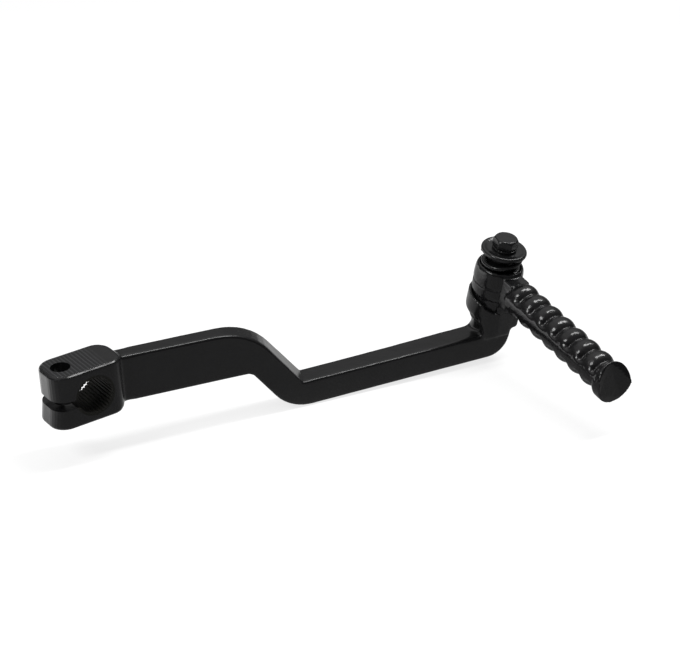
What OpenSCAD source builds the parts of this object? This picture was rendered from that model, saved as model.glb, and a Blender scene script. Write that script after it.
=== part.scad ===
// Kick start lever with a folding pedal: a forged arm clamped to a serrated shaft,
// and a ribbed pedal that turns on a leaning pin under a spring.
// X runs from the shaft to the pedal, Y runs along the shaft towards the engine, Z is up.
// The origin is the middle of the serrated bore. Sizes are in millimetres.

/* [Clamp] */
// Diameter over the serrations of the bore, which is the size of the kick shaft
shaft_d = 16; // [13:0.5:18]
// Number of serrations round the bore
serrations = 36; // [24:1:44]
// Depth of each groove between two serrations
groove_depth = 0.55; // [0.3:0.05:0.7]
// Width of each groove where it opens into the bore
groove_w = 0.8; // [0.4:0.05:0.85]
// Depth of the clamp along the shaft
clamp_depth = 20.5; // [17:0.5:26]
// Metal above and below the bore
clamp_wall = 4.3; // [3:0.1:7]
// Metal between the bore and the arm's side
heel_wall = 7.7; // [4:0.1:8]
// Metal from the bore to the tips of the jaws
jaw_reach = 9.6; // [9:0.1:16]
// How far the lower jaw's tip stands out past the upper one at the bottom
jaw_step = 1; // [0:0.1:2.5]
// Radius of the clamp's corners, seen from above
clamp_corner_r = 7.4; // [4:0.1:8.5]
// Angle by which the clamp's block is turned against the arm
clamp_tilt = 7.5; // [0:0.5:12]
// Width of the slit between the jaws
slit_w = 4.2; // [1.5:0.1:5]
// How far the slit lies below the middle of the bore
slit_drop = 1.3; // [0:0.1:2]
// Diameter of the hole for the pinch bolt
pinch_d = 8.5; // [6.5:0.1:8.8]
// Distance from the bore's middle to the pinch bolt hole
pinch_reach = 9.7; // [8.5:0.1:11]
// Radius along the clamp's edges
clamp_edge_r = 1.6; // [0.8:0.1:2.5]

/* [Arm] */
// Distance from the shaft to the pedal's pin
arm_length = 219.6; // [190:0.5:250]
// Height of the arm beside the clamp
root_h = 21.5; // [17:0.1:23]
// Height of the arm's top over the middle of the bore
root_top = 12.35; // [9:0.05:13]
// Thickness of the arm beside the clamp
root_t = 8.9; // [7:0.1:12]
// Distance of the arm's flat front face from the clamp's middle plane
front_y = 5; // [4:0.1:7]
// Distance from the shaft to the start of the upper bend
bend_x = 60.6; // [45:0.1:70]
// Outer radius of the upper bend
bend_r = 40; // [28:0.5:44]
// Outer radius of the lower bend
heel_bend_r = 28; // [22:0.5:34]
// Slope of the stretch between the two bends
slope_angle = 45.5; // [35:0.5:50]
// Height of the stretch between the two bends, square to its slope
slope_h = 13; // [10:0.1:15]
// Angle by which the creases of the bends run askew across the arm
skew_angle = 27; // [0:1:35]
// Drop of the arm's top from the clamp to the lower stretch
drop = 31.25; // [28:0.05:36]
// Height of the lower stretch
bar_h = 12.4; // [9:0.1:13.5]
// Thickness of the lower stretch at its start
bar_t = 13; // [9:0.1:14]
// Thickness of the arm under the pedal
end_t = 15.6; // [12:0.1:17]
// Rise of the lower stretch towards the pedal
bar_rise_angle = 1.55; // [0:0.05:3]
// Radius of the arm's end under the pedal
end_r = 13; // [9:0.5:14]
// Radius of the inner corners of the bends
inner_r = 1.6; // [0.8:0.1:3]
// Radius along the arm's edges
arm_edge_r = 1.3; // [0.5:0.1:2.5]

/* [Pivot] */
// Lean of the pin towards the front
lean_front = 11.3; // [6:0.1:14]
// Lean of the pin towards the clamp
lean_side = 2.1; // [0:0.1:4]
// Diameter of the pivot pin
pin_d = 12; // [10:0.1:13]
// Depth to which the pin is pressed into the arm
pin_press = 7; // [6:0.5:9]
// Radius of the arm's cup round the pedal's foot
cup_r = 12.4; // [12:0.1:14]
// Wall of that cup
cup_wall = 1.6; // [1.2:0.1:2.2]
// Depth of the cup below the pedal's seat
cup_depth = 7.5; // [6:0.1:9]
// Height of the cup's wall under its rim where the cup starts to narrow
cup_skirt = 4; // [2:0.1:5]
// Radius at which the narrowing ends on the arm
cup_foot_r = 7.9; // [7.5:0.1:10]
// Depth of the notch in the cup, left of the pedal's neck
notch_depth = 5; // [3:0.1:6]
// Width of the seat under the neck
seat_w = 12; // [10:0.1:14]
// Distance of the seat's front face from the pin
seat_reach = 12.6; // [12:0.1:14]
// Height of the seat's upright sides
seat_side = 9.8; // [4:0.1:11]
// Height over which the seat runs out into the arm
seat_fall = 13; // [11:0.1:16]

/* [Pedal] */
// Angle between the pedal in use and the pedal folded over the arm
fold_angle = 90; // [60:1:95]
// Rise of the pedal as it turns from use to folded
fold_lift = 4.8; // [3:0.1:5]
// Angle by which the pedal in use points back to the clamp
toe_in = 2; // [0:0.1:5]
// Radius of the hub
hub_r = 11.7; // [11.3:0.1:12.5]
// Height of the hub's top over the pedal's seat
hub_top = 20.7; // [19:0.1:21.6]
// Depth of the hub's well, where the spring stands
well_depth = 13; // [11:0.5:14]
// Height of the ledge between the hub and its foot
ledge_h = 11.6; // [9:0.1:14]
// Width of the neck between hub and grip
neck_w = 11; // [9:0.1:13]
// Height of the neck over its seat
neck_h = 19; // [17:0.1:20]
// Radius of the neck's lower edges
neck_low_r = 3; // [1:0.1:4]
// Height of the grip's middle over the pedal's seat
grip_h = 12.1; // [11:0.1:14]
// Distance from the pin to the first groove of the grip
grip_start = 16; // [12:0.1:18]
// Number of ridges on the grip
ridges = 7; // [5:1:8]
// Distance from ridge to ridge
ridge_pitch = 9.45; // [7:0.05:10.5]
// Radius over the ridges
ridge_r = 8.5; // [7:0.1:9.5]
// Radius of curvature of each ridge
ridge_curve = 6.2; // [5.5:0.1:9]
// Height of the smooth band along each side of the grip
band_h = 5.4; // [3:0.1:7]
// Length of the thick end of the grip
knob_len = 9.6; // [8:0.5:18]
// Radius of the thick end of the grip
knob_r = 9.4; // [8.5:0.05:10.5]
// Radius of the swelling from the last groove to the thick end
swell_r = 6; // [4:0.5:8]
// Radius round the grip's end face
end_round = 1; // [0.5:0.1:4]
// Radius along the top of the end face
brow_r = 6; // [1:0.1:8]
// Radius along the bottom of the end face
chin_r = 0.8; // [0.5:0.1:6]
// Fall of the end face's upper half, from its ridge to the top
brow_fall = 6; // [0.5:0.1:7]
// Fall of the end face's lower half, from its ridge to the bottom
chin_fall = 0.3; // [0.1:0.1:3]

/* [Spring stack] */
// Diameter of the spring's wire
wire_d = 2.4; // [1.8:0.1:2.5]
// Number of turns of the spring
coil_turns = 4.5; // [3.5:0.25:5]
// Thickness of the washer under the spring
spring_seat_t = 1.2; // [0.8:0.1:2]
// Outer radius of the cup washer
cap_r = 11; // [10.8:0.1:12]
// Sheet thickness of the cup washer
cap_t = 1.2; // [1:0.05:1.35]
// Depth of the cup washer's turned down rim
cap_rim = 3.1; // [2:0.1:3.2]
// Thickness of the spring washer under the bolt
lock_t = 1.4; // [1:0.1:2]
// Outer diameter of the spring washer
lock_d = 11.8; // [11:0.1:12.5]
// Thread diameter of the pivot bolt
bolt_d = 6; // [5:1:6]
// Width of the bolt head across its flats
bolt_flats = 10; // [9:0.5:11]
// Height of the bolt head
bolt_head_h = 4.9; // [3:0.1:6]
// Length of the bolt under its head
bolt_len = 16; // [12:1:20]
// Share of the bolt head's height where its corners start to be turned off
head_share = 0.72; // [0.6:0.02:0.9]
// Share of its flats' half width that is left at the top
head_top_share = 0.92; // [0.7:0.02:0.95]

/* [Hidden] */
$fn = 64;

// Overrun of every cut, and the facet counts of arcs and of the small parts of a hull
over = 1;
arc_n = 8;
hull_n = 32;
step_angle = 3;
// Where the bolt head and the gap of its spring washer came to rest, about the pin
head_turn = 16;
split_turn = 60;

// Clearances: running fit of the hub, foot in the cup, neck on its seat, spring in its well
run_gap = 0.05;
foot_gap = 0.3;
seat_gap = 0.2;
well_gap = 0.5;
ramp_gap = 0.15;
thrust_gap = 0.1;

black = "#1b1b1d";
steel_black = "#242427";

// Clamp values
bore_r = shaft_d / 2;
half_h = bore_r + clamp_wall;
heel_x = bore_r + heel_wall;
jaw_x = -(bore_r + jaw_reach);
slit_end_x = -bore_r / 2;

// Arm values. Points and directions of the side view are written [x, z]
root_bottom = root_top - root_h;
slope_dir = [cos(slope_angle), -sin(slope_angle)];
slope_up = [sin(slope_angle), cos(slope_angle)];
bar_dir = [cos(bar_rise_angle), sin(bar_rise_angle)];
bar_up = [-sin(bar_rise_angle), cos(bar_rise_angle)];
crown_c = [bend_x, root_top - bend_r];
crown_end = crown_c + bend_r * slope_up;
// The upper bend's inner corner, on the underside
under_run = (crown_end.y - root_bottom - slope_h * slope_up.y) / slope_up.x;
under_corner = crown_end + under_run * slope_dir - slope_h * slope_up;
// The lower bend's inner corner, on the top, and the middle of its outer radius, which lies this
// far over the slope and over the lower stretch
top_run = (crown_end.y - (root_top - drop)) / slope_up.x;
top_corner = crown_end + top_run * slope_dir;
over_slope = heel_bend_r - slope_h;
over_bar = heel_bend_r - bar_h;
lower_c = top_corner + [over_slope * bar_up.y - over_bar * slope_up.y,
                        over_bar * slope_up.x - over_slope * bar_up.x]
                       / (slope_up.x * bar_up.y - bar_up.x * slope_up.y);

// Pin values. Heights along the pin are counted from the shaft's level
seat_z = -0.5;
pedal_z = seat_z + seat_gap;
cup_floor = seat_z - cup_depth;
cup_in_r = cup_r - cup_wall;
foot_r = cup_in_r - foot_gap;
boss_end = cup_floor - pin_press - (cup_foot_r - pin_d / 2) / 2;
// The arm's end stands this far outside the pin's axis
end_out = cup_r - arm_edge_r * 2;
end_x = arm_length + end_out;

// Half of the angle that the flat under the neck takes up, and the end of the fold
flat_half = asin((neck_w / 2 - neck_low_r) / (cup_r + cup_in_r) * 2);
notch_to = 45;
ramp_from = 57;
ramp_to = fold_angle + 2 * flat_half;
stop_at = 318;

// Pedal values, measured up from the pedal's own underside
hub_bore_r = pin_d / 2 + run_gap;
coil_r = cap_r - cap_t - foot_gap - wire_d / 2;
well_r = coil_r + wire_d / 2 + well_gap;
well_floor = hub_top - well_depth;
grip_len = ridges * ridge_pitch;

// Spring stack values, measured up the pin. The lifted hub stays clear of the cup washer's rim
cap_z = pedal_z + hub_top + fold_lift + seat_gap + cap_rim - cap_t;
seat_washer_z = pedal_z + well_floor + thrust_gap;
spring_low = seat_washer_z + spring_seat_t;

function on_circle(c, r, a) = c + r * [cos(a), sin(a)];
function arc(c, r, from, to, n = arc_n) = [for (i = [0:n]) on_circle(c, r, from + (to - from) * i / n)];

// Puts an arc of its own radius at each corner of an outline. A corner is [x, y, radius]
function unit(v) = v / norm(v);
function corner_arc(p, q, s) =
    let (a = unit([p.x - q.x, p.y - q.y]), b = unit([s.x - q.x, s.y - q.y]),
         half = acos(a * b) / 2, mid = unit(a + b), c = [q.x, q.y] + mid * q.z / sin(half),
         turn = a.x * b.y - a.y * b.x > 0 ? 1 : -1, mid_a = atan2(-mid.y, -mid.x))
    arc(c, q.z, mid_a + turn * (90 - half), mid_a - turn * (90 - half), arc_n / 2);
function rounded(corners) =
    let (n = len(corners))
    [for (i = [0:n - 1]) each corner_arc(corners[(i + n - 1) % n], corners[i], corners[(i + 1) % n])];

// Joins rings of points into one closed skin. All rings have the same number of points
module skin(rings) {
    n = len(rings[0]);
    last = len(rings) - 1;
    sides = [for (i = [0:last - 1], j = [0:n - 1])
        let (a = i * n + j, b = i * n + (j + 1) % n) each [[a, b + n, b], [a, a + n, b + n]]];
    ends = [[for (j = [0:n - 1]) j], [for (j = [n - 1:-1:0]) last * n + j]];
    polyhedron([for (ring = rings) each ring], concat(sides, ends), convexity = 6);
}

// Puts children on the pin's leaning axis, where their Z runs up the pin
module on_pin(z = 0) {
    translate([arm_length, 0, 0]) rotate([lean_front, -lean_side, 0]) translate([0, 0, z]) children();
}

// Turns children so that their -Y points along the pedal in use
module on_pedal(z = 0) {
    on_pin(z) rotate([0, 0, -toe_in]) children();
}

// Places children in the clamp's own tilted frame
module on_clamp() {
    rotate([0, -clamp_tilt, 0]) children();
}

// A round plate with a rounded rim, for the hulls
module soft_plate(r, edge, z, up) {
    translate([0, 0, z - up * edge]) rotate_extrude($fn = hull_n)
        translate([r - edge, 0]) circle(edge, $fn = hull_n / 2);
}

// One block of the clamp between two heights. Its ends are given at the bottom and at the top
module clamp_block(z0, z1, left0, left1, right) {
    side = clamp_depth / 2 - clamp_corner_r;
    hull() for (y = [-side, side]) {
        translate([left0 + clamp_corner_r, y, 0]) soft_plate(clamp_corner_r, clamp_edge_r, z0, -1);
        translate([left1 + clamp_corner_r, y, 0]) soft_plate(clamp_corner_r, clamp_edge_r, z1, 1);
        translate([right - clamp_corner_r, y, 0]) soft_plate(clamp_corner_r, clamp_edge_r, z0, -1);
        translate([right - clamp_corner_r, y, 0]) soft_plate(clamp_corner_r, clamp_edge_r, z1, 1);
    }
}

// The bore with its serrations: the lands stay parts of one true cylinder
module serrated_bore() {
    step = 360 / serrations;
    half_open = groove_w / bore_r * 90 / PI;
    root_r = bore_r + groove_depth;
    // The flanks of each groove meet below the land, so that they cross it at the groove's width
    tip_r = bore_r - groove_depth * (step / 2 - half_open) / half_open;
    depth = clamp_depth + 2 * over;
    rotate([90, 0, 0]) {
        cylinder(r = bore_r, h = depth, center = true, $fn = 96);
        linear_extrude(depth, center = true)
            polygon([for (i = [0:serrations - 1])
                each [on_circle([0, 0], max(tip_r, bore_r / 2), i * step),
                      on_circle([0, 0], root_r, (i + 0.5) * step)]]);
    }
}

module clamp() {
    slit_top = -slit_drop + slit_w / 2;
    slit_low = -slit_drop - slit_w / 2;
    clamp_block(slit_top - clamp_edge_r, half_h, jaw_x, jaw_x, heel_x);
    clamp_block(-half_h, slit_low + clamp_edge_r, jaw_x - jaw_step, jaw_x, heel_x);
    clamp_block(-half_h, half_h, slit_end_x - clamp_corner_r, slit_end_x - clamp_corner_r, heel_x);
}

module clamp_cuts() {
    serrated_bore();
    translate([jaw_x - jaw_step - over, -clamp_depth, -slit_drop - slit_w / 2])
        cube([slit_end_x - jaw_x + jaw_step + over, 2 * clamp_depth, slit_w]);
    translate([-pinch_reach, 0, 0])
        cylinder(d = pinch_d, h = 2 * (half_h + over), center = true);
}

// A ring of points across the arm: a rounded rectangle from the top point to the bottom point.
// Its back lies further along the arm by the skew
function arm_ring(top, low, back, skew, r = arm_edge_r) =
    let (run = norm(low - top), dir = (low - top) / run,
         flat = rounded([[0, -front_y, r], [run, -front_y, r], [run, back, r], [0, back, r]]))
    [for (p = flat) let (q = top + dir * p.x) [q.x + skew * (p.y + front_y), p.y, q.y]];

// The arm's back face: it steps out from the clamp to the lower stretch, and on to the pedal
function grown(x, from, to, size0, size1) =
    let (share = max(0, min(1, (x - from) / (to - from)))) size0 + (size1 - size0) * share * share;
function back_y(x) =
    (x < top_corner.x ? grown(x, heel_x, top_corner.x, root_t, bar_t)
                      : grown(x, top_corner.x, arm_length, bar_t, end_t)) - front_y;

function bar_ring(top, low, skew = 0) = arm_ring(top, low, back_y(top.x), skew);

module arm_bar() {
    skew = tan(skew_angle);
    crown = [for (i = [0:arc_n])
        bar_ring(on_circle(crown_c, bend_r, 90 - slope_angle * i / arc_n),
                 [bend_x + (under_corner.x - inner_r - bend_x) * i / arc_n, root_bottom], skew)];
    after = under_corner + inner_r * slope_dir;
    before = lower_c - heel_bend_r * slope_up;
    // The outer radius of the lower bend, with the inner corner on two straight lines
    from = 270 - slope_angle;
    to = 270 + bar_rise_angle;
    crease = atan2(top_corner.y - lower_c.y, top_corner.x - lower_c.x) + 360;
    half_n = arc_n / 2;
    lower = concat(
        [for (i = [0:half_n])
            let (a = from + (crease - from) * i / half_n)
            bar_ring(on_circle(lower_c, over_slope / cos(a - from), a),
                     on_circle(lower_c, heel_bend_r, a), skew)],
        [for (i = [1:half_n])
            let (a = crease + (to - crease) * i / half_n)
            bar_ring(on_circle(lower_c, over_bar / cos(to - a), a),
                     on_circle(lower_c, heel_bend_r, a), skew)]);
    // The straight lower stretch ends where the outer radius under the pedal starts
    bar_start = on_circle(lower_c, over_bar, to);
    bar_end = [end_x - end_r, top_corner.y + (end_x - end_r - top_corner.x) * tan(bar_rise_angle)];
    bar_low = bar_end - bar_h * bar_up;
    end_c = [bar_low.x, bar_low.y + end_r];
    inner = [arm_length - cup_foot_r + 2 * inner_r, bar_end.y];
    stop = inner - inner_r * 2 * bar_dir;
    stretch = [for (i = [1:half_n - 1])
        let (top = bar_start + (stop - bar_start) * i / half_n)
        bar_ring(top, top - bar_h * bar_up, skew * (half_n - i) / half_n)];
    skin(concat(
        [bar_ring([bore_r, root_top], [bore_r, root_bottom])],
        crown,
        [for (low = [after, before]) bar_ring(low + slope_h * slope_up, low, skew)],
        lower,
        stretch,
        [bar_ring(stop, bar_low - (end_r - inner_r * 2) * bar_dir)],
        [for (i = [0:arc_n])
            bar_ring(inner + [0, inner_r * i / arc_n], on_circle(end_c, end_r, 270 + 90 * i / arc_n))]));
}

// The arm's end turns up along the pin, and spreads into the seat in front of the cup
module upright() {
    low = -drop + bar_h;
    hull() {
        translate([arm_length - cup_foot_r, -front_y, low])
            cube([cup_foot_r + end_out - arm_edge_r, end_t, over]);
        on_pin(boss_end + over) cylinder(r = cup_foot_r - arm_edge_r, h = over, $fn = hull_n);
    }
}

module seat() {
    left = -seat_w / 4;
    corner = seat_w / 6;
    on_pin() hull() {
        for (x = [left + corner / 2, left + seat_w - corner])
            translate([x, corner - seat_reach, seat_z - seat_side])
                cylinder(r = x < 0 ? corner / 2 : corner, h = seat_side, $fn = hull_n / 2);
        translate([left, -front_y, seat_z - seat_fall])
            cube([seat_w - corner, front_y, seat_fall]);
    }
}

// Height of the cup's rim at a clockwise angle from the pedal in use
function rim(a) =
    let (ramp = fold_lift / fold_angle)
    a <= flat_half ? seat_z :
    a <= notch_to ? seat_z - notch_depth :
    seat_z - ramp_gap + ramp * (min(a, ramp_to) - flat_half);

// Everything above the cup's rim: a ring whose underside follows the rim
module above_rim() {
    high = seat_z + hub_top;
    in_r = cup_in_r - cup_wall;
    out_r = cup_r + cup_skirt;
    // Where the rim steps, its two heights stand a few degrees apart
    angles = concat([0, flat_half, flat_half + step_angle, notch_to],
                    [for (i = [0:arc_n * 2]) ramp_from + (ramp_to - ramp_from) * i / (arc_n * 2)],
                    [for (i = [1:arc_n * 2]) ramp_to + (stop_at - ramp_to) * i / (arc_n * 2)],
                    [stop_at + step_angle]);
    n = len(angles);
    function low(a) = a > stop_at ? seat_z : rim(a);
    rings = [for (a = angles)
        let (dir = -90 - a, c = cos(dir), s = sin(dir), z = low(a))
        [[in_r * c, in_r * s, z], [out_r * c, out_r * s, z], [out_r * c, out_r * s, high],
         [in_r * c, in_r * s, high]]];
    faces = [for (i = [0:n - 1], j = [0:3])
        let (a = i * 4 + j, b = i * 4 + (j + 1) % 4, c = ((i + 1) % n) * 4 + (j + 1) % 4,
             d = ((i + 1) % n) * 4 + j)
        each [[a, c, b], [a, d, c]]];
    polyhedron([for (r = rings) each r], faces, convexity = 6);
}

// The cup's outside narrows under its skirt to the boss round the end of the pin
module cup_outside() {
    on_pin(seat_z) rotate_extrude()
        polygon([[0, boss_end - seat_z], [cup_foot_r, boss_end - seat_z],
                 [cup_foot_r, -cup_skirt - cup_depth], [cup_r, -cup_skirt],
                 [cup_r, fold_lift + over], [0, fold_lift + over]]);
}

// One forging: clamp, bar, upright and cup. The bore, the slit, the bolt hole, the cup and the
// hole for the pin are cut out of it
module arm() {
    color(black) difference() {
        union() {
            on_clamp() clamp();
            arm_bar();
            upright();
            seat();
            cup_outside();
        }
        on_clamp() clamp_cuts();
        on_pin(cup_floor) cylinder(r = cup_in_r, h = cup_depth + hub_top);
        on_pin(cup_floor - pin_press) cylinder(d = pin_d, h = pin_press + over);
        on_pedal() above_rim();
    }
}

// Turned pin, pressed into the arm, with a tapped end for the bolt
module pivot_pin() {
    thread_low = cap_z + cap_t + lock_t - bolt_len - over;
    color(steel_black) on_pin() difference() {
        translate([0, 0, cup_floor - pin_press]) cylinder(d = pin_d, h = pin_press - cup_floor + cap_z);
        translate([0, 0, thread_low]) cylinder(d = bolt_d, h = cap_z - thread_low + over);
    }
}

// The grip's profile: half rounds between two grooves, then the thick end
function ridge_profile() =
    let (half = asin(ridge_pitch / 2 / ridge_curve), c = ridge_r - ridge_curve)
    concat(
        [for (k = [0:ridges - 1], i = [0:arc_n - 1])
            let (a = -half + 2 * half * i / arc_n)
            [c + ridge_curve * cos(a), grip_start + (k + 0.5) * ridge_pitch + ridge_curve * sin(a)]],
        [[c + ridge_curve * cos(half), grip_start + grip_len]]);

module grip() {
    grip_end = grip_start + grip_len;
    end = grip_end + knob_len;
    root = (foot_r + hub_bore_r) / 2;
    groove_r = ridge_r - ridge_curve + ridge_curve * cos(asin(ridge_pitch / 2 / ridge_curve));
    // The swelling starts at the last groove's radius
    swell_a = acos((knob_r - groove_r) / -swell_r + 1);
    high = end + over / 2;
    profile = concat(
        [[0, root], [groove_r, root]],
        ridge_profile(),
        arc([knob_r - swell_r, grip_end + swell_r * sin(swell_a)], swell_r, -swell_a, 0),
        arc([knob_r - end_round, high - end_round], end_round, 0, 90),
        [[0, high]]);
    side = knob_r + seat_gap;
    translate([0, 0, grip_h]) rotate([90, 0, 0]) {
        intersection() {
            rotate_extrude() polygon(profile);
            rotate([90, 0, 90]) linear_extrude(2 * side, center = true)
                polygon(rounded([[-side, root - over, end_round / 2],
                                 [side, root - over, end_round / 2], [side, end - brow_fall, brow_r],
                                 [0, end, over], [-side, end - chin_fall, chin_r]]));
        }
        // The smooth bands along both sides, where the dies met
        intersection() {
            translate([0, 0, root]) cylinder(r = ridge_r, h = grip_end - root + swell_r);
            translate([-ridge_r, -band_h / 2, root]) cube([2 * ridge_r, band_h, end - root]);
        }
    }
}

module neck() {
    low = neck_low_r;
    high = neck_low_r / 2;
    half = neck_w / 2;
    front = seat_reach - seat_gap;
    translate([0, -front, 0]) rotate([-90, 0, 0]) linear_extrude(front - (foot_r + hub_bore_r) / 2)
        polygon(rounded([[-half, -neck_h, high], [half, -neck_h, high], [half, 0, low], [-half, 0, low]]));
}

module hub() {
    shoulder = hub_r - well_r - thrust_gap;
    lip = seat_gap * 2;
    rotate_extrude() polygon(concat(
        [[0, -cup_depth + seat_gap], [foot_r - lip, -cup_depth + seat_gap],
         [foot_r, -cup_depth + 2 * seat_gap], [foot_r, fold_lift],
         [hub_r - lip, fold_lift + neck_low_r], [hub_r - lip, ledge_h - 2 * lip],
         [hub_r, ledge_h - lip], [hub_r, ledge_h], [hub_r - lip, ledge_h + lip]],
        arc([hub_r - shoulder, hub_top - shoulder], shoulder, 0, 90),
        [[0, hub_top]]));
}

// One forging: the hub on the pin, the neck and the ribbed grip
module pedal() {
    color(black) on_pedal(pedal_z) difference() {
        union() {
            hub();
            neck();
            grip();
        }
        translate([0, 0, -cup_depth - over]) cylinder(r = hub_bore_r, h = cup_depth + hub_top + 2 * over);
        translate([0, 0, well_floor]) cylinder(r = well_r, h = hub_top - well_floor + over);
    }
}

// Washer on the floor of the hub's well, between the turning hub and the spring
module spring_seat() {
    color(steel_black) on_pin(seat_washer_z) difference() {
        cylinder(r = well_r - foot_gap, h = spring_seat_t);
        translate([0, 0, -over]) cylinder(d = pin_d + 2 * foot_gap, h = spring_seat_t + 2 * over);
    }
}

// A coil spring with closed ends, swept along its own helix
module spring() {
    ring_n = 8;
    step_n = 20;
    free_h = cap_z - spring_low - wire_d - 2 * thrust_gap;
    count = coil_turns * step_n;
    // The end turns lie flat, and the rise goes to the turns between
    function rise(t) = max(0, min(1, (t - 0.5) / (coil_turns - 1)));
    rings = [for (i = [0:count])
        let (t = i / step_n, a = 360 * t, z = spring_low + thrust_gap + wire_d / 2 + free_h * rise(t))
        [for (j = [0:ring_n - 1])
            let (b = -360 * j / ring_n, r = coil_r + wire_d / 2 * cos(b))
            [r * cos(a), r * sin(a), z + wire_d / 2 * sin(b)]]];
    color(steel_black) on_pin() skin(rings);
}

// Pressed cup that holds the spring down, with a shallow dish round the bolt
module cup_washer() {
    hole_r = (bolt_d + foot_gap) / 2;
    flat_r = lock_d / 2 + seat_gap;
    in_r = cap_r - cap_t;
    dish = cap_t / 3;
    color(steel_black) on_pin(cap_z) rotate_extrude() polygon(concat(
        [[hole_r, 0], [flat_r, 0], [in_r - cap_t, dish], [in_r, dish - cap_t / 2], [in_r, cap_t - cap_rim],
         [cap_r, cap_t - cap_rim]],
        arc([cap_r - cap_t, cap_t], cap_t, 0, 90, arc_n / 2),
        [[flat_r + cap_t, cap_t + dish], [flat_r, cap_t], [hole_r, cap_t]]));
}

// Split spring washer under the bolt head
module spring_washer() {
    color(steel_black) on_pin(cap_z + cap_t) difference() {
        cylinder(d = lock_d, h = lock_t);
        translate([0, 0, -over]) cylinder(d = bolt_d + foot_gap, h = lock_t + 2 * over);
        rotate([0, 0, split_turn]) translate([0, -lock_t / 4, -over])
            cube([lock_d, lock_t / 2, lock_t + 2 * over]);
    }
}

// Hexagon head bolt, screwed into the pin
module pivot_bolt() {
    under = cap_z + cap_t + lock_t;
    corner_r = bolt_flats / 2 / cos(30);
    top_r = bolt_flats / 2 * head_top_share;
    turned_h = bolt_head_h * (1 - head_share);
    // The turned cone runs on past the corners
    out_r = corner_r + over;
    out_h = bolt_head_h - turned_h * (out_r - top_r) / (corner_r - top_r);
    color(steel_black) on_pin(under) {
        translate([0, 0, -bolt_len]) cylinder(d = bolt_d, h = bolt_len + bolt_head_h / 2);
        intersection() {
            rotate([0, 0, head_turn]) cylinder(r = corner_r, h = bolt_head_h, $fn = 6);
            rotate_extrude() polygon([[0, -over], [out_r, -over], [out_r, out_h], [top_r, bolt_head_h],
                                      [0, bolt_head_h]]);
        }
    }
}

arm();
pivot_pin();
pedal();
spring_seat();
spring();
cup_washer();
spring_washer();
pivot_bolt();
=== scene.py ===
"""Kick start lever with a folding pedal: its looks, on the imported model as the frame.

Everything is in metres. X runs from the shaft to the pedal's pin, Y along the shaft, Z up.
"""
import math

import bmesh
import bpy
import numpy as np
from mathutils import Matrix, Vector


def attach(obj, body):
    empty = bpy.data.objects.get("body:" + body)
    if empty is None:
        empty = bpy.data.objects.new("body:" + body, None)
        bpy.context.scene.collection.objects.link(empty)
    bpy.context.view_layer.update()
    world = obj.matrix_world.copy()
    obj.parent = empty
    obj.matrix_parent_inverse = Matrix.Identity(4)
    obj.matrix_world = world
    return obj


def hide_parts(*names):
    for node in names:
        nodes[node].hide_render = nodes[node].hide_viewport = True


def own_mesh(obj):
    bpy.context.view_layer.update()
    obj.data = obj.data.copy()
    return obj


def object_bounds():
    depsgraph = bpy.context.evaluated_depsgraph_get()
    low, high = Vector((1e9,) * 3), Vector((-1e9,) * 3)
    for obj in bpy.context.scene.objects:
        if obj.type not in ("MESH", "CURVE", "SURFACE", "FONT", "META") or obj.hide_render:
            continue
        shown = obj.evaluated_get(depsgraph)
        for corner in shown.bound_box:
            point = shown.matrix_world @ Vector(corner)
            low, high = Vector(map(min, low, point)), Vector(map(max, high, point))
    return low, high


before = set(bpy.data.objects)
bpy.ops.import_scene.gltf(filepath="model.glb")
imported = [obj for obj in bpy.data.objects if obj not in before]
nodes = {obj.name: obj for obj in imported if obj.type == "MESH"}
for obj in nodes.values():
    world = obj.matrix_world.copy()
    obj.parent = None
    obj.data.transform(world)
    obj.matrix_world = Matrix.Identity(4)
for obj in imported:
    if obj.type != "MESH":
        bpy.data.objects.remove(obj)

cad_low, cad_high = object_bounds()
scene = bpy.context.scene
scene.view_settings.view_transform = "Standard"


def mm(*values):
    """Millimetres to metres: one number, or a vector of three."""
    return values[0] / 1000 if len(values) == 1 else Vector(values) / 1000


def srgb(code):
    """An sRGB hex colour as the linear colour that a shader takes."""
    parts = [int(code[i:i + 2], 16) / 255 for i in (1, 3, 5)]
    return [c / 12.92 if c <= 0.04045 else ((c + 0.055) / 1.055) ** 2.4 for c in parts] + [1.0]


def bare(block):
    """A material or world with an empty node tree."""
    block.use_nodes = True
    block.node_tree.nodes.clear()
    return block


def add(block, kind, links=None, values=None, **settings):
    """Adds one shader node. links maps a socket to (node, output), and values a socket to its
    value. Settings with an attribute's name are set on the node, the rest on its sockets, where
    "_" stands for a space."""
    node = block.node_tree.nodes.new(kind)
    for name, value in settings.items():
        if hasattr(node, name):
            setattr(node, name, value)
        else:
            node.inputs[name.replace("_", " ")].default_value = value
    for socket, value in (values or {}).items():
        node.inputs[socket].default_value = value
    for socket, (source, output) in (links or {}).items():
        block.node_tree.links.new(source.outputs[output], node.inputs[socket])
    return node


# Sockets of a Mix node for colours and for numbers: both ends and the result
COLOUR_A, COLOUR_B, COLOUR_OUT = 6, 7, 2
NUMBER_A, NUMBER_B, NUMBER_OUT = 2, 3, 0

# Camera, at the photograph's place: fitted to edges of the arm, the clamp and the pedal
AZIMUTH, ELEVATION, ROLL = map(math.radians, (36.5, 23.2, 4.27))
FOCAL_PX, IMAGE_W = 1917, 680
PX_PER_MM = 2.204
AIM = mm(130.15, 0, 1.46)
DISTANCE = mm(FOCAL_PX / PX_PER_MM)
SENSOR = 36
NEAREST, FARTHEST = 0.01, 20


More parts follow.
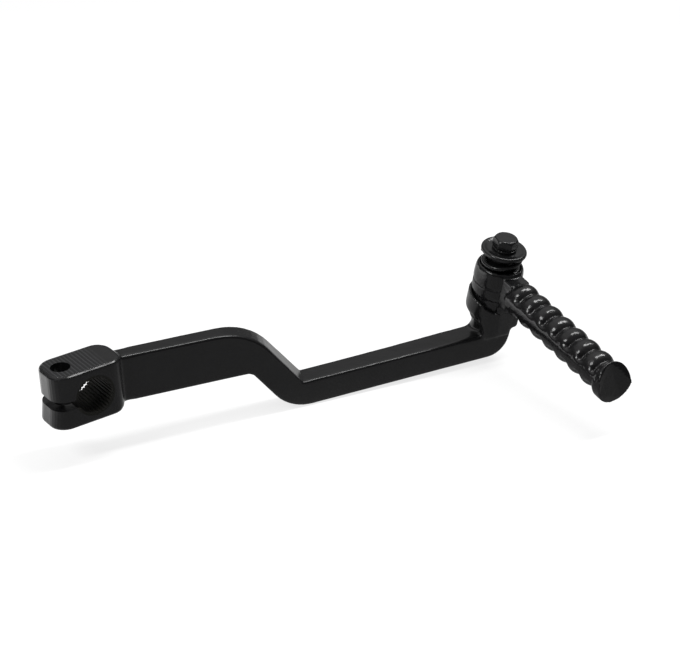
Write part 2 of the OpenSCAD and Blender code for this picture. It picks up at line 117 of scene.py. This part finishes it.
def place_camera():
    """A camera that looks along its own -Z, turned by its right, up and back directions."""
    back = Vector((-math.sin(AZIMUTH) * math.cos(ELEVATION),
                   -math.cos(AZIMUTH) * math.cos(ELEVATION), math.sin(ELEVATION)))
    level = Vector((math.cos(AZIMUTH), -math.sin(AZIMUTH), 0))
    upright = back.cross(level)
    right = level * math.cos(ROLL) + upright * math.sin(ROLL)
    up = upright * math.cos(ROLL) - level * math.sin(ROLL)
    data = bpy.data.cameras.new("camera")
    data.sensor_fit = "HORIZONTAL"
    data.sensor_width = SENSOR
    data.lens = FOCAL_PX / IMAGE_W * SENSOR
    data.clip_start, data.clip_end = NEAREST, FARTHEST
    camera = bpy.data.objects.new("camera", data)
    scene.collection.objects.link(camera)
    turn = Matrix((right, up, back)).transposed().to_4x4()
    camera.matrix_world = Matrix.Translation(AIM + back * DISTANCE) @ turn
    scene.camera = camera


# Studio: a pale floor under the lever, soft boxes and a white surround
FLOOR_HALF, FLOOR_GAP = 3.0, mm(0.3)
WHITE = srgb("#ffffff")
# What the paint sees of the floor: its glow in front of the lever, and how much is added behind
# the clamp and behind the pedal
FRONT_GLOW, CLAMP_GLOW, PEDAL_GLOW = 0.26, 1.4, 0.42


def make_floor():
    """A plain white paper floor under the lever. The camera sees it as white with the lever's soft
    shadow, and the paint mirrors it dim in front and bright behind, as the studio's flags leave
    it."""
    half, low = FLOOR_HALF, cad_low[2] - FLOOR_GAP
    mesh = bpy.data.meshes.new("floor")
    mesh.from_pydata([(-half, -half, low), (half, -half, low), (half, half, low),
                      (-half, half, low)], [], [(0, 1, 2, 3)])
    floor = bpy.data.objects.new("floor", mesh)
    scene.collection.objects.link(floor)
    paper = bare(bpy.data.materials.new("white paper floor"))
    # For the camera: part lit paper, which keeps the shadow, and part even white
    lit = add(paper, "ShaderNodeBsdfDiffuse", Color=srgb("#a0a0a0"))
    even = add(paper, "ShaderNodeEmission", Color=WHITE, Strength=0.78)
    seen = add(paper, "ShaderNodeAddShader", {0: (lit, 0), 1: (even, 0)})
    # For reflections: dim in front of the lever, bright behind it, and less so at the pedal
    place = add(paper, "ShaderNodeTexCoord")
    parts = add(paper, "ShaderNodeSeparateXYZ", {"Vector": (place, "Object")})
    behind = add(paper, "ShaderNodeMapRange", {"Value": (parts, "Y")},
                 interpolation_type="SMOOTHSTEP", From_Min=mm(-40), From_Max=mm(110))
    along = add(paper, "ShaderNodeMapRange", {"Value": (parts, "X")},
                interpolation_type="SMOOTHSTEP", From_Min=mm(20), From_Max=mm(170),
                To_Min=CLAMP_GLOW, To_Max=PEDAL_GLOW)
    level = add(paper, "ShaderNodeMath", {0: (behind, 0), 1: (along, 0)}, {2: FRONT_GLOW},
                operation="MULTIPLY_ADD")
    glow = add(paper, "ShaderNodeEmission", {"Strength": (level, 0)}, Color=WHITE)
    plain = add(paper, "ShaderNodeBsdfDiffuse", Color=srgb("#e8e8e8"))
    path = add(paper, "ShaderNodeLightPath")
    gloss = add(paper, "ShaderNodeMixShader",
                {0: (path, "Is Glossy Ray"), 1: (plain, 0), 2: (glow, 0)})
    mix = add(paper, "ShaderNodeMixShader",
              {0: (path, "Is Camera Ray"), 1: (gloss, 0), 2: (seen, 0)})
    add(paper, "ShaderNodeOutputMaterial", {"Surface": (mix, 0)})
    mesh.materials.append(paper)


def soft_box(name, place, aim, size, watts):
    """A square or long area lamp at a place, turned to its aim."""
    data = bpy.data.lights.new(name, "AREA")
    data.shape = "RECTANGLE"
    data.size, data.size_y = size
    data.energy = watts
    lamp = bpy.data.objects.new(name, data)
    scene.collection.objects.link(lamp)
    lamp.location = place
    lamp.rotation_euler = (Vector(aim) - Vector(place)).to_track_quat("-Z", "Y").to_euler()


def light_studio():
    """A white surround for the camera. For the paint it is dim near the horizon and in front, and
    pale overhead. A long strip lights the lever from above, and a square soft box from the left."""
    world = bare(bpy.data.worlds.new("white studio"))
    scene.world = world
    direction = add(world, "ShaderNodeTexCoord")
    parts = add(world, "ShaderNodeSeparateXYZ", {"Vector": (direction, "Generated")})
    rise = add(world, "ShaderNodeMapRange", {"Value": (parts, "Z")},
               interpolation_type="SMOOTHSTEP", From_Min=0.25, From_Max=0.95,
               To_Min=0.12, To_Max=0.72)
    # A dark flag hangs over the front, which deepens the grooves of the grip
    flag = add(world, "ShaderNodeMapRange", {"Value": (parts, "Y")},
               interpolation_type="SMOOTHSTEP", From_Min=-0.45, From_Max=0.25,
               To_Min=0.3, To_Max=1)
    level = add(world, "ShaderNodeMath", {0: (rise, 0), 1: (flag, 0)}, operation="MULTIPLY")
    fill = add(world, "ShaderNodeBackground", {"Strength": (level, 0)}, Color=WHITE)
    seen = add(world, "ShaderNodeBackground", Color=WHITE, Strength=1.0)
    path = add(world, "ShaderNodeLightPath")
    mix = add(world, "ShaderNodeMixShader",
              {0: (path, "Is Camera Ray"), 1: (fill, 0), 2: (seen, 0)})
    add(world, "ShaderNodeOutputWorld", {"Surface": (mix, 0)})
    soft_box("overhead strip", (0.62, -0.06, 0.95), (0.62, -0.06, 0), (1.0, 0.13), 6)
    soft_box("left soft box", (-0.75, -0.15, 0.75), (0.12, 0, 0), (0.35, 0.35), 4)


# Finishes
PAINT_IOR = 1.5
# The coat's thickness varies over about 9 mm, and its orange peel is about 0.9 mm across
CLOUD_SIZE, PEEL_SIZE, PEEL_DEPTH = mm(9), mm(0.9), mm(0.02)


def black_coat(block, dark, pale, gloss, skin_size, skin_depth):
    """A nearly black coat whose sharp reflections wander over the uneven skin under it. Gives the
    outputs for its colour, roughness and surface."""
    place = add(block, "ShaderNodeTexCoord")
    # Slightly paler and duller where the coat is thin
    cloud = add(block, "ShaderNodeTexNoise", {"Vector": (place, "Object")}, Scale=1 / CLOUD_SIZE,
                Detail=3.0)
    shade = add(block, "ShaderNodeMix", {"Factor": (cloud, "Fac")},
                {COLOUR_A: srgb(dark), COLOUR_B: srgb(pale)}, data_type="RGBA")
    grade = add(block, "ShaderNodeMapRange", {"Value": (cloud, "Fac")},
                To_Min=gloss[0], To_Max=gloss[1])
    # The skin of the forging or turned part under the coat, and the coat's own orange peel
    skin = add(block, "ShaderNodeTexNoise", {"Vector": (place, "Object")}, Scale=1 / skin_size,
               Detail=2.0)
    peel = add(block, "ShaderNodeTexNoise", {"Vector": (place, "Object")}, Scale=1 / PEEL_SIZE,
               Detail=1.0)
    uneven = add(block, "ShaderNodeBump", {"Height": (skin, "Fac")}, Strength=0.6,
                 Distance=skin_depth)
    fine = add(block, "ShaderNodeBump", {"Height": (peel, "Fac"), "Normal": (uneven, 0)},
               Strength=0.25, Distance=PEEL_DEPTH)
    return (shade, COLOUR_OUT), (grade, 0), (fine, 0)


# The clamp's block is turned against the arm. Its top stands this high over the shaft's axis
CLAMP_TILT = math.radians(7.5)
CLAMP_TOP = mm(12.3)
# The bore's film ends between these radii, outside the serrations
BORE_IN, BORE_OUT = mm(9.0), mm(9.2)
# The bands of a wave texture lie 0.314 / scale apart
MARK_SPACING, WAVE_SPACING, MARK_DEPTH = mm(1.7), 0.314, mm(0.25)


def clamp_finish(block, colour, roughness, surface):
    """The clamp's machined places. The milled top has marks along the shaft, and the broached bore
    is bare steel under a thin olive film of oil and soot, so it looks dull and dark."""
    place = add(block, "ShaderNodeTexCoord")
    turned = add(block, "ShaderNodeMapping", {"Vector": (place, "Object")},
                 Rotation=(0, CLAMP_TILT, 0))
    parts = add(block, "ShaderNodeSeparateXYZ", {"Vector": (turned, 0)})
    marks = add(block, "ShaderNodeTexWave", {"Vector": (turned, 0)},
                Scale=WAVE_SPACING / MARK_SPACING, Distortion=1.2, Detail=1.0)
    top = add(block, "ShaderNodeMapRange", {"Value": (parts, "Z")},
              From_Min=CLAMP_TOP - mm(0.08), From_Max=CLAMP_TOP - mm(0.01))
    near_hole = add(block, "ShaderNodeMapRange", {"Value": (parts, "X")},
                    From_Min=mm(9), From_Max=mm(4))
    where = add(block, "ShaderNodeMath", {0: (top, 0), 1: (near_hole, 0)}, operation="MULTIPLY")
    height = add(block, "ShaderNodeMath", {0: (where, 0), 1: (marks, "Fac")},
                 operation="MULTIPLY")
    milled = add(block, "ShaderNodeBump", {"Height": (height, 0), "Normal": surface},
                 Strength=1.0, Distance=MARK_DEPTH)
    # The crests of the marks are painted paler: partly thin paint that shows the steel, partly
    # painted sheen that stands in for the light the milled marks catch
    thin = add(block, "ShaderNodeMapRange", {"Value": (height, 0)}, To_Max=0.6)
    painted_sheen_stripes = add(block, "ShaderNodeMix", {"Factor": (thin, 0), COLOUR_A: colour},
                 {COLOUR_B: srgb("#424244")}, data_type="RGBA")
    # The bore, by its distance from the shaft's axis
    flat = add(block, "ShaderNodeVectorMath", {0: (turned, 0)}, {1: (1, 0, 1)},
               operation="MULTIPLY")
    radius = add(block, "ShaderNodeVectorMath", {0: (flat, 0)}, operation="LENGTH")
    bore = add(block, "ShaderNodeMapRange", {"Value": (radius, "Value")},
               From_Min=BORE_OUT, From_Max=BORE_IN)
    olive = add(block, "ShaderNodeMix", {"Factor": (bore, 0), COLOUR_A: (painted_sheen_stripes, COLOUR_OUT)},
                {COLOUR_B: srgb("#16150f")}, data_type="RGBA")
    dull = add(block, "ShaderNodeMix", {"Factor": (bore, 0), NUMBER_A: roughness},
               {NUMBER_B: 0.8}, data_type="FLOAT")
    return (olive, COLOUR_OUT), (dull, NUMBER_OUT), (milled, 0)


def coated(name, dark, pale, gloss, skin_size, skin_depth, machined=None):
    """A material with a black coat, and with machined places in it where machined is given."""
    block = bare(bpy.data.materials.new(name))
    coat = black_coat(block, dark, pale, gloss, skin_size, skin_depth)
    colour, roughness, surface = machined(block, *coat) if machined else coat
    shader = add(block, "ShaderNodeBsdfPrincipled",
                 {"Base Color": colour, "Roughness": roughness, "Normal": surface}, IOR=PAINT_IOR)
    add(block, "ShaderNodeOutputMaterial", {"Surface": (shader, "BSDF")})
    return block


# Shapes. The solids carry the sizes; here they get the soft blends of painted forgings
LEAN_FRONT, LEAN_SIDE, TOE_IN = map(math.radians, (11.3, 2.1, 2))
PIN_FOOT = mm(219.6, 0, 0)
SEAT_Z, PEDAL_Z = mm(-0.5), mm(-0.3)
on_pin = (Matrix.Translation(PIN_FOOT) @ Matrix.Rotation(-LEAN_SIDE, 4, "Y")
          @ Matrix.Rotation(LEAN_FRONT, 4, "X"))
on_pedal = on_pin @ Matrix.Rotation(-TOE_IN, 4, "Z") @ Matrix.Translation((0, 0, PEDAL_Z))


def moved(matrix, points):
    """Points as rows, moved by a 4 x 4 matrix."""
    m = np.array(matrix)
    return points @ m[:3, :3].T + m[:3, 3]


def points_of(mesh):
    """A mesh's points as rows."""
    flat = np.empty(len(mesh.vertices) * 3)
    mesh.vertices.foreach_get("co", flat)
    return flat.reshape(-1, 3)


def solid(name):
    """A CAD node's points and faces."""
    mesh = nodes[name].data
    return points_of(mesh), [tuple(p.vertices) for p in mesh.polygons]


def skin(rings, closed=False):
    """A skin over rings with the same number of points. Its two ends are capped, or joined to each
    other where it is closed."""
    count = len(rings[0])
    last = len(rings) if closed else len(rings) - 1
    faces = [(i * count + j, i * count + (j + 1) % count,
              (i + 1) % len(rings) * count + (j + 1) % count, (i + 1) % len(rings) * count + j)
             for i in range(last) for j in range(count)]
    if not closed:
        faces += [tuple(reversed(range(count))), tuple(last * count + j for j in range(count))]
    return np.concatenate(rings), faces


def make_piece(name, points, faces, finish):
    """A smooth piece of the given points and faces."""
    mesh = bpy.data.meshes.new(name)
    mesh.from_pydata(points.tolist(), [], faces)
    mesh.validate()
    mesh.shade_smooth()
    mesh.materials.append(finish)
    piece = bpy.data.objects.new(name, mesh)
    scene.collection.objects.link(piece)
    return piece


def fused(parts, voxel):
    """One closed skin round overlapping parts, as a mesh of small squares: its points, edges and
    faces."""
    points = np.concatenate([p for p, _ in parts])
    faces, start = [], 0
    for p, f in parts:
        faces += [tuple(i + start for i in face) for face in f]
        start += len(p)
    mesh = bpy.data.meshes.new("rough")
    mesh.from_pydata(points.tolist(), [], faces)
    rough = bpy.data.objects.new("rough", mesh)
    scene.collection.objects.link(rough)
    squares = rough.modifiers.new("squares", "REMESH")
    squares.mode = "VOXEL"
    squares.voxel_size = voxel
    seen = rough.evaluated_get(bpy.context.evaluated_depsgraph_get())
    done = bpy.data.meshes.new_from_object(seen)
    bpy.data.objects.remove(rough)
    edges = np.empty(len(done.edges) * 2, int)
    done.edges.foreach_get("vertices", edges)
    return points_of(done), edges.reshape(-1, 2), [tuple(p.vertices) for p in done.polygons]


def relaxed(points, edges, passes, share=None):
    """Draws each point towards the middle of its neighbours, which turns creases into fillets.
    share says how much of each pull a point takes."""
    share = np.ones(len(points)) if share is None else share
    count = len(points)
    many = np.bincount(edges.ravel(), minlength=count)[:, None]
    a, b = edges.T
    for _ in range(passes):
        total = np.stack([np.bincount(a, points[b, k], count) + np.bincount(b, points[a, k], count)
                          for k in range(3)], 1)
        points = points + 0.5 * share[:, None] * (total / many - points)
    return points


def ease(values, start, end):
    """0 before start, 1 after end, and a soft step between them."""
    t = np.clip((values - start) / (end - start), 0, 1)
    return t * t * (3 - 2 * t)


# The grip in the pedal's frame: heights over its underside, lengths from the pin
GRIP_H, GRIP_ROOT, GRIP_START, RIDGES, PITCH = mm(12.1), mm(15), mm(16), 7, mm(9.45)
RIDGE_R, RIDGE_CURVE, KNOB_LEN, KNOB_R = mm(8.5), mm(6.2), mm(9.6), mm(9.4)
BROW_FALL, CHIN_FALL = mm(6.0), mm(0.3)
GRIP_RINGS, GRIP_SIDES = 230, 112


def ridge_height(along):
    """A ridge's radius at a distance from its crest."""
    return RIDGE_R - RIDGE_CURVE + math.sqrt(RIDGE_CURVE ** 2 - along ** 2)


def grip_skin():
    """The ribbed grip. Its grooves run out towards the smooth flank on each side."""
    grooves_end = GRIP_START + RIDGES * PITCH
    end = grooves_end + KNOB_LEN
    angles = np.linspace(0, 2 * math.pi, GRIP_SIDES, endpoint=False)
    across, height = np.cos(angles), np.sin(angles)
    # Grooves fade out between these heights over the middle of the flank
    flank = 1 - ease(np.abs(height) * RIDGE_R, mm(2.0), mm(4.4))
    rings = []
    for run in np.linspace(GRIP_ROOT, end, GRIP_RINGS):
        smooth = flank * ease(run, GRIP_START - mm(0.5), GRIP_START + mm(2))
        if run < grooves_end:
            from_crest = (run - GRIP_START) % PITCH - PITCH / 2 if run > GRIP_START else PITCH / 2
            ridge = ridge_height(from_crest)
            radius = ridge + (RIDGE_R - ridge) * smooth
        else:
            groove = ridge_height(PITCH / 2)
            swell = ease(run, grooves_end - mm(1), grooves_end + mm(4.6))
            ridge = groove + (KNOB_R - groove) * swell
            radius = ridge + np.maximum(RIDGE_R - ridge, 0) * smooth
        x, z = radius * across, radius * height
        # The end face falls back above its middle, and stands nearly upright below it
        limit = end - np.where(z > 0, BROW_FALL * z / KNOB_R, -CHIN_FALL * z / KNOB_R)
        rings.append(np.stack([x, -np.minimum(run, limit), z + GRIP_H], 1))
    points, faces = skin(rings)
    return moved(on_pedal, points), faces


# The hub's outline: radius and height in the pedal's frame, in millimetres. It goes up the bore
# and the well, over the long soft shoulder, past the crease and down the foot
HUB = [(6.15, -7.3), (6.15, 7.7), (10, 7.7), (10, 20.7),
       (10.3, 20.7), (10.75, 20.45), (11.1, 19.9), (11.4, 19), (11.6, 17.6), (11.7, 15.6),
       (11.7, 12.3), (11.1, 11.8), (11.1, 11.3), (11.6, 10.8),
       (11.35, 6.0), (10.5, 5.0), (10.5, -7.1), (10.1, -7.3)]
WELL_SIDE, CREASE_H = mm(10.3), mm(11.6)
NECK_SIDE, NECK_BACK, NECK_FRONT, NECK_BEVEL = mm(5.5), mm(10.3), mm(12.4), mm(1.1)
# The neck's heel stands on the seat, and its bridge reaches into the grip
HEEL_TOP, BRIDGE_END, BRIDGE_LOW, NECK_TOP = mm(9), mm(17.5), mm(4.2), mm(19)
RING_SIDES = 120
PEDAL_VOXEL = mm(0.4)


def turned_ring(outline):
    """A closed ring from an outline of radius and height in millimetres, about the Z axis."""
    rings = [np.array([[mm(r) * math.cos(a), mm(r) * math.sin(a), mm(z)] for r, z in outline])
             for a in np.linspace(0, 2 * math.pi, RING_SIDES, endpoint=False)]
    return skin(rings, closed=True)


def block_under_neck(front, back, low, high):
    """An upright block as wide as the neck, with bevelled front corners."""
    side, near = NECK_SIDE, front - NECK_BEVEL
    outline = [(-side, -back), (-side, -near), (-side + NECK_BEVEL, -front),
               (side - NECK_BEVEL, -front), (side, -near), (side, -back)]
    return skin([np.array([[x, y, z] for x, y in outline]) for z in (low, high)])


def make_pedal():
    """The pedal's forging: hub, neck and grip flow into each other under the paint."""
    parts = [turned_ring(HUB), block_under_neck(NECK_FRONT, NECK_BACK, 0, HEEL_TOP),
             block_under_neck(BRIDGE_END, NECK_BACK, BRIDGE_LOW, NECK_TOP)]
    parts = [(moved(on_pedal, points), faces) for points, faces in parts]
    points, edges, faces = fused(parts + [grip_skin()], PEDAL_VOXEL)
    own = moved(on_pedal.inverted(), points)
    run, height = -own[:, 1], own[:, 2]
    in_well = np.hypot(own[:, 0], own[:, 1]) < WELL_SIDE
    crease = (1 - ease(np.abs(height - CREASE_H), mm(0.7), mm(1.5))) * (run < mm(9.5))
    foot = 1 - ease(height, mm(0.5), mm(3))
    own = relaxed(own, edges, 4, (1 - 0.7 * foot) * (1 - 0.85 * crease))
    # The neck's lower front edge stays sharp, where it stands on the seat
    edge = ((np.abs(own[:, 0]) < NECK_SIDE - NECK_BEVEL) & (np.abs(run - NECK_FRONT) < mm(0.45))
            & (height < mm(0.7)))
    own[edge, 1] = -NECK_FRONT
    own[edge & (height < mm(0.25)), 2] = 0
    near_hub = (1 - ease(run, mm(14), mm(18))) * ease(height, mm(2), mm(5))
    own = relaxed(own, edges, 9, near_hub * ~in_well * (1 - 0.95 * crease))
    return make_piece("pedal_forging", moved(on_pedal, own), faces, pedal_paint)


# The cup in the pin's frame. Its rim climbs by the hub's lift over the pedal's quarter turn, from
# RIM_START degrees beside the seat's middle
CUP_IN_R, CUP_OUT_R, CUP_LOW_R, POST_R = mm(10.8), mm(12.35), mm(12.3), mm(8.6)
CUP_LOW_Z, POST_Z = mm(-8), mm(-15.5)
LIFT, FOLD, RIM_START, RIM_GAP = mm(4.8), 90, 28, mm(0.3)


def rim_filler():
    """The cup's wall beside the seat, where the neck starts to climb, down to the arm."""
    rings = []
    for angle in np.linspace(20, 62, 15):
        turn = math.radians(-90 - angle) - TOE_IN
        top = SEAT_Z - RIM_GAP + LIFT / FOLD * max(angle - RIM_START, 0)
        low_r = CUP_LOW_R - mm(3) * ease(angle, 40, 62)
        outline = [(POST_R, POST_Z), (low_r, POST_Z), (CUP_OUT_R, CUP_LOW_Z), (CUP_OUT_R, top),
                   (CUP_IN_R, top), (CUP_IN_R, CUP_LOW_Z)]
        rings.append(np.array([[r * math.cos(turn), r * math.sin(turn), z] for r, z in outline]))
    points, faces = skin(rings)
    return moved(on_pin, points), faces


# The seat in the pedal's frame. Its top lies a hair under the neck
SEAT_TOP, SEAT_LOW, SEAT_BACK = mm(-0.06), mm(-14), mm(8)


def seat_filler():
    """The seat's front and left sides, flush with the neck that stands on it."""
    points, faces = block_under_neck(NECK_FRONT, SEAT_BACK, SEAT_LOW, SEAT_TOP)
    return moved(on_pedal, points), faces


# The clamp's end keeps the solid's own faces up to here, and edges sharper than this stay crisp
CLAMP_END = mm(11)
CLAMP_SHARP = math.radians(30)
ARM_VOXEL = mm(0.47)


def keep_side(piece, low_side):
    """Cuts a piece at the clamp's end and keeps its low or its high side along X."""
    mesh = bmesh.new()
    mesh.from_mesh(piece.data)
    bmesh.ops.bisect_plane(mesh, geom=mesh.verts[:] + mesh.edges[:] + mesh.faces[:],
                           plane_co=(CLAMP_END, 0, 0), plane_no=(1, 0, 0),
                           clear_outer=low_side, clear_inner=not low_side)
    mesh.to_mesh(piece.data)
    mesh.free()


def make_arm():
    """The arm's forging with its fillets. They grow at the heel of the clamp and under the cup,
    and the cup's rim stays crisp."""
    points, edges, faces = fused([solid("arm"), rim_filler(), seat_filler()], ARM_VOXEL)
    at_cup = ease(points[:, 0], mm(196), mm(204)) * ease(points[:, 2], mm(-24), mm(-18))
    rim = ease(moved(on_pin.inverted(), points)[:, 2], mm(-4), mm(-2))
    at_heel = ease(points[:, 0], mm(12.5), mm(14.5)) * (1 - ease(points[:, 0], mm(19), mm(23)))
    points = relaxed(points, edges, 3, 1 - 0.7 * at_cup * rim)
    points = relaxed(points, edges, 18, np.maximum(at_cup * (1 - rim), at_heel))
    # The seat's upper front edge stays sharp, where the neck stands on it
    own = moved(on_pedal.inverted(), points)
    edge = ((np.abs(own[:, 0]) < NECK_SIDE - NECK_BEVEL)
            & (np.abs(own[:, 1] + NECK_FRONT) < mm(0.5))
            & (np.abs(own[:, 2] - SEAT_TOP) < mm(0.8)))
    own[edge, 1] = -NECK_FRONT
    own[edge & (own[:, 2] > SEAT_TOP - mm(0.3)), 2] = SEAT_TOP
    piece = make_piece("arm_forging", moved(on_pedal, own), faces, arm_paint)
    keep_side(piece, low_side=False)
    return piece


def make_clamp():
    """The clamp's machined end, as the solid has it, with its serrated bore and slit."""
    piece = make_piece("clamp_end", *solid("arm"), arm_paint)
    keep_side(piece, low_side=True)
    piece.data.shade_smooth()
    piece.data.set_sharp_from_angle(angle=CLAMP_SHARP)
    return piece


# From here up, in the pin's frame, stand the split washer and the bolt's head
WASHER_Z = mm(28.4)


def softened(name, voxel, passes, wider):
    """A small part whose edges are rounded by its coating. wider makes up for what the rounding
    takes off its width above the cap washer."""
    points, edges, faces = fused([solid(name)], voxel)
    own = moved(on_pin.inverted(), relaxed(points, edges, passes))
    own[:, :2] *= np.where(own[:, 2] > WASHER_Z, wider, 1)[:, None]
    return make_piece(name + "_coated", moved(on_pin, own), faces, steel)


# The cap washer's underside in the pin's frame, in millimetres, and its outline over that
CAP_LOW = 27.3
CAP = [(3.2, 0), (6.2, 0), (8.6, 0.15), (9.9, 0), (10.5, -0.4), (10.85, -0.15), (11.0, 0.4),
       (10.9, 1.05), (10.6, 1.5), (10.1, 1.72), (9.5, 1.65), (8.7, 1.2), (7.9, 0.95), (7.1, 1.0),
       (6.2, 1.2), (3.2, 1.2)]


def make_cap():
    """Pressed washer on the spring: a shallow dish with a rolled edge."""
    points, faces = turned_ring([(r, CAP_LOW + z) for r, z in CAP])
    return make_piece("cap_washer", moved(on_pin, points), faces, steel)


# The spring in the pin's frame. It starts SPRING_TURN degrees from X and makes TURNS turns
WIRE_R, TURNS, LOW_COIL, TOP_COIL = mm(1.2), 4.5, mm(8.6), mm(9.55)
SPRING_FOOT, SPRING_TOP, SPRING_TURN = mm(8.8), mm(27.25), -40
# The height of its last climb to the cap washer
LAST_CLIMB = mm(4.6)
# Turns before its end at which that climb starts and ends, and at which the coil opens out
CLIMB_START, CLIMB_END, OPEN_START, OPEN_END = 0.82, 0.42, 0.55, 0.25
STEPS_PER_TURN, WIRE_SIDES = 40, 14


def make_spring():
    """Coil spring of round wire. Its top turn opens out, and climbs faster to the washer."""
    span = SPRING_TOP - SPRING_FOOT - 2 * WIRE_R
    round_wire = np.linspace(0, 2 * math.pi, WIRE_SIDES, endpoint=False)
    rings = []
    for i in range(int(TURNS * STEPS_PER_TURN) + 1):
        turns = i / STEPS_PER_TURN
        climbed = np.interp(turns, (0.5, TURNS - CLIMB_START, TURNS - CLIMB_END),
                            (0, 1 - LAST_CLIMB / span, 1))
        opened = ease(turns, TURNS - OPEN_START, TURNS - OPEN_END)
        radius = LOW_COIL + (TOP_COIL - LOW_COIL) * opened + WIRE_R * np.cos(round_wire)
        height = SPRING_FOOT + WIRE_R + span * climbed + WIRE_R * np.sin(round_wire)
        angle = 2 * math.pi * turns + math.radians(SPRING_TURN)
        rings.append(np.stack([radius * math.cos(angle), radius * math.sin(angle), height], 1))
    points, faces = skin(rings)
    return make_piece("spring_wire", moved(on_pin, points), faces, steel)


def fit(piece, body, node):
    """Puts a finished piece on its body, in place of a node."""
    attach(piece, body)
    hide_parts(node)


place_camera()
make_floor()
light_studio()
# Stoved paint looks deep black and mirrors sharply. The pedal's forging has a rougher skin than the
# arm's, which breaks its reflections up. The coat on the small turned parts looks a little duller
arm_paint = coated("gloss black stoving paint on forged steel", "#121213", "#1a1a1b",
                   (0.14, 0.26), mm(6), mm(0.25), clamp_finish)
pedal_paint = coated("gloss black stoving paint on a rough forging", "#121213", "#1a1a1b",
                     (0.12, 0.24), mm(3.5), mm(0.55))
steel = coated("semi-gloss black coating on turned steel", "#111112", "#1a1a1b",
               (0.16, 0.28), mm(3), mm(0.35))
paints = {"arm": arm_paint, "pedal": pedal_paint}
for name, node in nodes.items():
    node.data.materials.clear()
    node.data.materials.append(paints.get(name, steel))

fit(make_pedal(), "pedal", "pedal")
fit(make_arm(), "arm", "arm")
fit(make_clamp(), "arm", "arm")
fit(softened("pivot_bolt", mm(0.25), 8, 1.09), "arm", "pivot_bolt")
fit(softened("spring_washer", mm(0.2), 3, 1.0), "arm", "spring_washer")
fit(make_cap(), "arm", "cup_washer")
spring = make_spring()
fit(spring, "arm", "spring")
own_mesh(spring)
